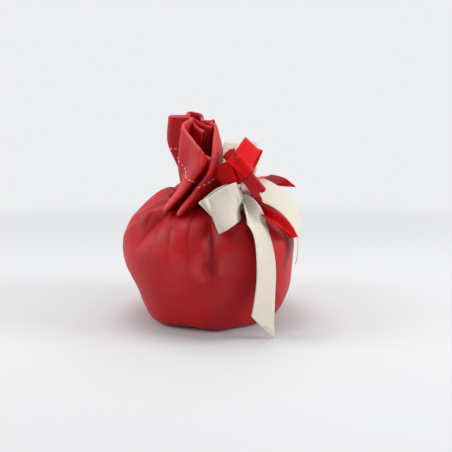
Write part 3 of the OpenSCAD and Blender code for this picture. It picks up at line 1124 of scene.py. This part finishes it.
class Effects:
    """The shader node groups that the finishes share."""

    def __init__(self) -> None:
        """Builds every group once."""
        self.grain = self.make_grain()
        self.mottle_and_light = self.make_mottle_and_light()
        self.weave = self.make_weave()

    @staticmethod
    def group(name: str, inputs: dict, outputs: dict) -> tuple:
        """Starts a group with named sockets.

        Args:
            name: the group's name.
            inputs: socket names, each with a default value.
            outputs: socket names, each with a socket type.

        Returns:
            The group, its tree helper, its input node and its output node.
        """
        tree = bpy.data.node_groups.new(name, "ShaderNodeTree")
        for label, value in inputs.items():
            kind = {float: "NodeSocketFloat",
                    tuple: "NodeSocketColor"}.get(type(value), "NodeSocketVector")
            socket = tree.interface.new_socket(name=label, in_out="INPUT", socket_type=kind)
            if isinstance(value, float):
                socket.default_value = value
            elif isinstance(value, tuple):
                socket.default_value = (*value, 1.0)
        for label, kind in outputs.items():
            tree.interface.new_socket(name=label, in_out="OUTPUT", socket_type=kind)
        return tree, Tree(tree), tree.nodes.new("NodeGroupInput"), tree.nodes.new("NodeGroupOutput")

    def make_grain(self) -> bpy.types.NodeTree:
        """Fine pebbled grain with hair creases, as a height and a roughness change."""
        tree, t, given, result = self.group(
            "fine_grain", {"Vector": None, "Pebbles": 1500.0, "Creases": 240.0},
            {"Height": "NodeSocketFloat", "Polish": "NodeSocketFloat"})
        pebbles = t.add("TexVoronoi", {"Vector": given.outputs[0], "Scale": given.outputs[1]},
                        feature="SMOOTH_F1")
        creases = t.add("TexNoise", {"Vector": given.outputs[0], "Scale": given.outputs[2], "Detail": 4.0,
                                     "Roughness": 0.6, "Distortion": 1.2})
        dip = t.ramp(t.maths("ABSOLUTE", t.maths("SUBTRACT", creases.outputs["Fac"], 0.5)), 0.0, 0.05)
        t.set(result.inputs["Height"], t.maths("ADD", t.maths("MULTIPLY", pebbles.outputs["Distance"], 0.6),
                                               t.maths("MULTIPLY", dip, 0.35)))
        t.set(result.inputs["Polish"], t.ramp(creases.outputs["Fac"], 0.3, 0.7))
        return tree

    def make_mottle_and_light(self) -> bpy.types.NodeTree:
        """Broad and small clouds of a second tone, a painted highlight with rubbed wear on the crests, and
        painted shade in the hollows and round the tie.
        """
        tree, t, given, result = self.group(
            "mottle_painted_light_and_wear", {"Vector": None, "Tone": (0.5, 0.5, 0.5), "Shade": (0.4, 0.4, 0.4),
                                "Crest Highlight And Wear": (0.6, 0.6, 0.6), "Clouds": 30.0, "Crest And Tie Shade": 0.0},
            {"Color": "NodeSocketColor", "Highlight And Wear Mask": "NodeSocketFloat"})
        broad = t.add("TexNoise", {"Vector": given.outputs[0], "Scale": given.outputs["Clouds"],
                                   "Detail": 3.0})
        small = t.add("TexNoise", {"Vector": given.outputs[0], "Scale": 420.0, "Detail": 2.0})
        cloud = t.maths("MULTIPLY", t.ramp(broad.outputs["Fac"], 0.35, 0.68), 0.6)
        shaded = t.mix(cloud, given.outputs["Tone"], given.outputs["Shade"])
        # Crests lighten towards the crest tone: a painted highlight, patchy like rubbed wear.
        high = t.ramp(given.outputs["Crest And Tie Shade"], 0.12, 0.9)
        highlight_and_wear = t.maths("MULTIPLY", high, t.ramp(small.outputs["Fac"], -0.4, 0.8))
        # Hollows and the tie darken towards the shade tone: painted shade.
        painted_hollow_shade = t.maths("MULTIPLY", t.ramp(given.outputs["Crest And Tie Shade"], -0.1, -0.9), 0.55)
        sunk = t.mix(painted_hollow_shade, shaded, given.outputs["Shade"])
        t.set(result.inputs["Color"], t.mix(t.maths("MULTIPLY", highlight_and_wear, 0.6), sunk, given.outputs["Crest Highlight And Wear"]))
        t.set(result.inputs["Highlight And Wear Mask"], highlight_and_wear)
        return tree

    def make_weave(self) -> bpy.types.NodeTree:
        """Crossing threads on a ribbon's own map, whose unit is 100 mm, with painted shade in the rib and
        warp valleys.
        """
        tree, t, given, result = self.group(
            "ribbon_weave", {"Vector": None, "Thread": (0.5, 0.5, 0.5), "Rib Valley Shade": (0.3, 0.3, 0.3),
                             "Pitch": 1.44, "Ends": 0.3},
            {"Color": "NodeSocketColor", "Height": "NodeSocketFloat", "Fuzz": "NodeSocketFloat"})
        place = t.add("SeparateXYZ", {0: given.outputs["Vector"]})
        turns = t.maths("DIVIDE", t.maths("MULTIPLY", place.outputs["X"], MAP_TURN), given.outputs["Pitch"])
        rib = t.maths("ADD", t.maths("MULTIPLY", t.maths("COSINE", turns), 0.5), 0.5)
        ends = t.maths("DIVIDE", t.maths("MULTIPLY", place.outputs["Y"], MAP_TURN), given.outputs["Ends"])
        warp = t.maths("ADD", t.maths("MULTIPLY", t.maths("SINE", ends), 0.5), 0.5)
        fuzz = t.add("TexNoise", {"Vector": given.outputs["Vector"], "Scale": 260.0, "Detail": 4.0,
                                  "Roughness": 0.7})
        # The colour runs from the gap tone in the rib and warp valleys to the thread tone on top: painted
        # shade.
        lit = t.maths("MULTIPLY", t.maths("ADD", 0.55, t.maths("MULTIPLY", rib, 0.45)),
                      t.maths("ADD", 0.88, t.maths("MULTIPLY", warp, 0.12)))
        speck = t.maths("ADD", 0.9, t.maths("MULTIPLY", fuzz.outputs["Fac"], 0.2))
        t.set(result.inputs["Color"], t.mix(t.maths("MULTIPLY", lit, speck), given.outputs["Rib Valley Shade"],
                                            given.outputs["Thread"]))
        t.set(result.inputs["Height"], t.maths("ADD", t.maths("MULTIPLY", rib, 0.6),
                                               t.maths("MULTIPLY", warp, 0.4)))
        t.set(result.inputs["Fuzz"], fuzz.outputs["Fac"])
        return tree


def start_material(name: str) -> tuple:
    """A new material with its tree helper and its surface shader."""
    material = bpy.data.materials.new(name)
    material.use_nodes = True
    return material, Tree(material.node_tree), material.node_tree.nodes["Principled BSDF"]


@dataclass(frozen=True)
class LeatherFinish:
    """Smooth coated leatherette with a fine grain."""

    effects: Effects
    name: str
    tone: tuple
    shade: tuple
    # Tone of the crests: a painted highlight, with rubbed wear.
    crest_highlight_and_wear: tuple
    pebbles: float = 1500.0
    creases: float = 240.0
    roughness: float = 0.42
    specular: float = 0.24
    depth: float = 0.00009

    def material(self) -> bpy.types.Material:
        """Builds the material."""
        material, t, shader = start_material(self.name)
        place = t.add("TexCoord").outputs["Object"]
        # The crest mask paints highlight and wear on crests and shade in hollows and round the tie.
        crest_and_tie_shade = t.add("Attribute", attribute_name="crest_and_tie_shade").outputs["Fac"]
        mottle_and_light = t.add("Group", {"Vector": place, "Tone": self.tone, "Shade": self.shade,
                                 "Crest Highlight And Wear": self.crest_highlight_and_wear, "Crest And Tie Shade": crest_and_tie_shade},
                       node_tree=self.effects.mottle_and_light)
        grain = t.add("Group", {"Vector": place, "Pebbles": self.pebbles, "Creases": self.creases},
                      node_tree=self.effects.grain)
        rough = t.maths("ADD", self.roughness, t.maths("MULTIPLY", grain.outputs["Polish"], 0.1))
        polish = t.maths("MULTIPLY", mottle_and_light.outputs["Highlight And Wear Mask"], 0.06)
        t.set(shader.inputs["Base Color"], mottle_and_light.outputs["Color"])
        t.set(shader.inputs["Roughness"], t.maths("SUBTRACT", rough, polish))
        bump = t.add("Bump", {"Height": grain.outputs["Height"], "Strength": 0.6, "Distance": self.depth})
        t.set(shader.inputs["Normal"], bump.outputs["Normal"])
        shader.inputs["Specular IOR Level"].default_value = self.specular
        return material


@dataclass(frozen=True)
class RibbonFinish:
    """Woven ribbon, ribbed or satin, on its own map."""

    effects: Effects
    name: str
    thread: tuple
    # Tone of the rib valleys: painted shade.
    gap: tuple
    pitch: float
    ends: float
    roughness: float
    sheen: float
    specular: float
    depth: float

    def material(self) -> bpy.types.Material:
        """Builds the material."""
        material, t, shader = start_material(self.name)
        place = t.add("UVMap", uv_map="UVMap").outputs["UV"]
        weave = t.add("Group", {"Vector": place, "Thread": self.thread, "Rib Valley Shade": self.gap,
                                "Pitch": self.pitch, "Ends": self.ends},
                      node_tree=self.effects.weave)
        dull = t.maths("MULTIPLY", weave.outputs["Fuzz"], 0.15)
        t.set(shader.inputs["Base Color"], weave.outputs["Color"])
        t.set(shader.inputs["Roughness"], t.maths("ADD", self.roughness, dull))
        bump = t.add("Bump", {"Height": weave.outputs["Height"], "Strength": 0.7, "Distance": self.depth})
        t.set(shader.inputs["Normal"], bump.outputs["Normal"])
        shader.inputs["Specular IOR Level"].default_value = self.specular
        shader.inputs["Sheen Weight"].default_value = self.sheen
        shader.inputs["Sheen Roughness"].default_value = 0.35
        return material


@dataclass(frozen=True)
class ThreadFinish:
    """Twisted sewing thread, with painted shade in its twist grooves."""

    effects: Effects
    name: str = "sewing_thread"
    tone: tuple = (0.86, 0.82, 0.72)
    # Tone of the twist grooves: painted shade.
    gap: tuple = (0.5, 0.44, 0.36)

    def material(self) -> bpy.types.Material:
        """Builds the material."""
        material, t, shader = start_material(self.name)
        place = t.add("TexCoord").outputs["Object"]
        twist = t.add("TexWave", {"Vector": place, "Scale": 900.0, "Distortion": 0.6},
                      bands_direction="DIAGONAL")
        # The twist grooves darken towards the gap tone: painted shade.
        t.set(shader.inputs["Base Color"], t.mix(twist.outputs["Fac"], self.gap, self.tone))
        bump = t.add("Bump", {"Height": twist.outputs["Fac"], "Strength": 0.5, "Distance": 0.0001})
        t.set(shader.inputs["Normal"], bump.outputs["Normal"])
        shader.inputs["Roughness"].default_value = 0.7
        shader.inputs["Sheen Weight"].default_value = 0.2
        return material


@dataclass(frozen=True)
class Room:
    """The pale room: even light, a little dimmer on the camera's side."""

    light: float = 0.87
    front_share: float = 0.58

    def brightness(self, t: Tree, way: bpy.types.NodeSocket) -> bpy.types.NodeSocket:
        """How bright the room is in one direction, given how far that direction points back."""
        dim = t.maths("MULTIPLY", t.ramp(way, -0.1, -0.75), 1.0 - self.front_share)
        return t.maths("MULTIPLY", t.maths("SUBTRACT", 1.0, dim), self.light)


@dataclass(frozen=True)
class FloorFinish:
    """Plain pale floor that fades into the room far from the sack."""

    room: Room
    tone: tuple = (0.56, 0.565, 0.57)
    roughness: float = 0.55
    near: float = 0.15
    far: float = 0.95

    def material(self) -> bpy.types.Material:
        """Builds the material."""
        material, t, shader = start_material("pale_floor")
        place = t.add("TexCoord").outputs["Object"]
        cloud = t.add("TexNoise", {"Vector": place, "Scale": 3.0, "Detail": 2.0})
        warm = tuple(0.985 * c for c in self.tone)
        reach = t.add("VectorMath", {0: place}, operation="LENGTH").outputs["Value"]
        way = t.maths("DIVIDE", t.add("SeparateXYZ", {0: place}).outputs["Y"], reach)
        glow = t.ramp(reach, self.near, self.far)
        plain = t.mix(cloud.outputs["Fac"], self.tone, warm)
        t.set(shader.inputs["Base Color"], t.mix(glow, plain, (0.0, 0.0, 0.0)))
        strength = t.maths("MULTIPLY", glow, self.room.brightness(t, way))
        t.set(shader.inputs["Emission Strength"], strength)
        shader.inputs["Emission Color"].default_value = (*ROOM_TONE, 1)
        shader.inputs["Roughness"].default_value = self.roughness
        shader.inputs["Specular IOR Level"].default_value = 0.0
        return material


# ---------------------------------------------------------------- studio

@dataclass(frozen=True)
class SoftLight:
    """One soft area light, aimed at the middle of the sack."""

    name: str
    place: tuple
    power: float
    size: float

    def build(self) -> None:
        """Hangs the light."""
        light = bpy.data.lights.new(self.name, "AREA")
        light.energy = self.power
        light.size = self.size
        holder = bpy.data.objects.new(self.name, light)
        holder.location = self.place
        aim = Vector((0, 0, 0.07)) - Vector(self.place)
        holder.rotation_euler = aim.to_track_quat("-Z", "Y").to_euler()
        bpy.context.scene.collection.objects.link(holder)


@dataclass
class Studio:
    """Pale floor and room, soft lights and the camera."""

    room: Room = Room()
    camera_place: tuple = (0.014, -0.393, 0.126)
    camera_tip: float = 8.08
    sensor: float = 36.0
    lens: float = 39.823009
    lights: tuple = (SoftLight("overhead", (-0.1, 0.05, 0.95), 3.3, 0.45),
                     SoftLight("right", (0.85, -0.2, 0.42), 6.0, 0.35),
                     SoftLight("left", (-0.85, -0.2, 0.5), 4.4, 0.45),
                     SoftLight("behind", (0.1, 0.9, 0.7), 1.0, 0.9))

    def floor(self) -> None:
        """Lays one flat sheet under the sack."""
        deselect()
        bpy.ops.mesh.primitive_plane_add(size=4)
        sheet = bpy.context.object
        sheet.name = "floor"
        bpy.ops.object.mode_set(mode="EDIT")
        bpy.ops.mesh.subdivide(number_cuts=15)
        bpy.ops.object.mode_set(mode="OBJECT")
        sheet.data.materials.append(FloorFinish(self.room).material())

    def world(self) -> None:
        """Fills the room with an even pale light."""
        world = bpy.data.worlds.new("pale_room")
        bpy.context.scene.world = world
        world.use_nodes = True
        backdrop = world.node_tree.nodes["Background"]
        backdrop.inputs[0].default_value = (*ROOM_TONE, 1)
        t = Tree(world.node_tree)
        way = t.add("SeparateXYZ", {0: t.add("TexCoord").outputs["Generated"]}).outputs["Y"]
        t.set(backdrop.inputs[1], self.room.brightness(t, way))

    def camera(self) -> None:
        """Sets the camera."""
        camera = bpy.data.cameras.new("camera")
        camera.sensor_width = self.sensor
        camera.lens = self.lens
        camera.clip_start = 0.01
        holder = bpy.data.objects.new("camera", camera)
        holder.location = self.camera_place
        holder.rotation_euler = (math.radians(90 - self.camera_tip), 0, 0)
        bpy.context.scene.collection.objects.link(holder)
        bpy.context.scene.camera = holder

    def build(self) -> None:
        """Sets up the whole studio."""
        self.floor()
        self.world()
        for light in self.lights:
            light.build()
        self.camera()
        bpy.context.scene.view_settings.view_transform = "Standard"


# ---------------------------------------------------------------- assembly

@dataclass(frozen=True)
class Held:
    """How one ribbon piece is used: its body, the CAD nodes it stands for and what it rests on."""

    body: str
    nodes: tuple
    manner: str
    rests_on: tuple = ()


@dataclass
class GiftSack:
    """The whole object: it builds each sub-assembly and dresses it."""

    skin: LeatherSkin = field(default_factory=LeatherSkin)
    neck_blend: tuple = ((-0.002, -0.0136, 0.098), (-0.002, -0.016, 0.110))
    leather: bpy.types.Material | None = None
    ribbed: bpy.types.Material | None = None
    satin: bpy.types.Material | None = None
    thread: bpy.types.Material | None = None

    def finishes(self) -> None:
        """Builds the finishes once."""
        effects = Effects()
        # The leather's crest tone is a painted highlight with rubbed wear; its shade tone is also painted
        # shade in hollows.
        self.leather = LeatherFinish(
            effects, "crimson_leatherette", tone=(0.48, 0.005, 0.010), shade=(0.26, 0.002, 0.005),
            crest_highlight_and_wear=(0.80, 0.11, 0.11)).material()
        # The gap tones are painted shade in the rib valleys.
        self.ribbed = RibbonFinish(
            effects, "cream_grosgrain", thread=(0.62, 0.56, 0.48), gap=(0.46, 0.41, 0.34),
            pitch=1.44, ends=0.3, roughness=0.6, sheen=0.2, specular=0.2, depth=0.00005).material()
        self.satin = RibbonFinish(
            effects, "red_satin", thread=(0.60, 0.002, 0.005), gap=(0.42, 0.001, 0.003),
            pitch=0.3, ends=0.22, roughness=0.36, sheen=0.0, specular=0.12, depth=0.00002).material()
        self.thread = ThreadFinish(effects).material()

    def dress(self, piece: bpy.types.Object, material: bpy.types.Material) -> None:
        """Gives a piece its finish."""
        piece.data.materials.clear()
        piece.data.materials.append(material)
        LOG.info("%s: %d faces", piece.name, len(piece.data.polygons))

    def leatherwork(self) -> None:
        """The skin, its hem, its seam flaps and the base."""
        back, front = self.skin.build()
        for piece, nodes in ((front, ("front_panel", "front_ruffle")),
                             (back, ("back_panel", "back_ruffle"))):
            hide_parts(*nodes)
        hem, stitches = self.skin.hem_facing(), HemStitches(self.skin).build()
        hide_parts("rim_hem")
        # The length is the modelled rim's girth: a real hem is estimated at 0.30 m or more.
        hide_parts("hem_stitches")
        for piece in (front, back, hem, stitches):
            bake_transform(piece)
        for piece in (front, back, hem):
            self.dress(piece, self.leather)
        self.dress(stitches, self.thread)
        flaps = SeamFlaps(self.skin.neck).build()
        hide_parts("seam_allowances")
        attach(flaps, "ruffle")
        self.dress(flaps, self.leather)
        base = BaseDisc().build()
        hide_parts("base_panel")
        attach(base, "sack")
        self.dress(base, self.leather)

    def tie(self, ribbon: Ribbon, held: Held, material: bpy.types.Material, slot: str) -> None:
        """Args:
            ribbon: the piece's sizes and route.
            held: its body and how it is held.
            material: its finish.
            slot: not used.
        """
        piece = ribbon.build()
        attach(piece, held.body)
        if held.nodes:
            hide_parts(*held.nodes)
        self.dress(piece, material)

    def ribbons(self) -> None:
        """Both bows, with their wraps, knots, loops and tails."""
        ribbed, satin = RibbedBow(self.skin.neck), SatinBow(self.skin.neck)
        skin = ("front_leather", "back_leather")
        knot, small_knot = ("ribbed_knot_band",), ("satin_knot_band",)
        for ribbon, held in (
                (ribbed.wrap(), Held("sack", ("ribbed_wrap",), "gathered", skin)),
                (ribbed.knot(), Held("sack", ("ribbed_knot",), "gathered", ("ribbed_wrap_band",))),
                (ribbed.left_loop(), Held("left_loop", ("ribbed_loop_left",), "folded", knot)),
                (ribbed.back_loop(), Held("back_loop", ("ribbed_loop_back",), "folded", knot)),
                (ribbed.front_tail(), Held("front_tail", ("ribbed_tail_front",), "hung", knot)),
                (ribbed.right_tail(), Held("right_tail", ("ribbed_tail_right",), "hung", knot))):
            self.tie(ribbon, held, self.ribbed, "ribbed_ribbon")
        for ribbon, held in (
                (satin.wrap(), Held("sack", ("satin_wrap",), "gathered", ("ribbed_wrap_band",))),
                (satin.knot(), Held("sack", ("satin_knot",), "gathered", ("satin_stem",))),
                (satin.stem(), Held("sack", (), "gathered", ("satin_wrap_band",))),
                (satin.upper_loop(),
                 Held("upper_satin_loop", ("satin_loop_upper",), "folded", small_knot)),
                (satin.lower_loop(),
                 Held("lower_satin_loop", ("satin_loop_lower",), "folded", small_knot)),
                (satin.upper_tail(),
                 Held("upper_satin_tail", ("satin_tail_upper",), "hung", small_knot)),
                (satin.lower_tail(), Held("lower_satin_tail", ("satin_tail_lower",), "hung", knot)),
                (Scroll().band(satin), Held("scroll", ("satin_band",), "folded", ("scroll_rolls",)))):
            self.tie(ribbon, held, self.satin, "satin_ribbon")

    def scroll(self) -> None:
        """The rolled-up strip of leatherette."""
        rolls = Scroll().rolls()
        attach(rolls, "scroll")
        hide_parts("scroll_upper_roll", "scroll_lower_roll")
        self.dress(rolls, self.leather)

    def build(self) -> None:
        """Builds the object in order."""
        self.finishes()
        self.leatherwork()
        self.scroll()
        self.ribbons()


def main() -> None:
    """Builds the sack and the studio."""
    logging.basicConfig(level=logging.INFO, format="%(message)s")
    GiftSack().build()
    Studio().build()


if __name__ == "__main__":
    main()
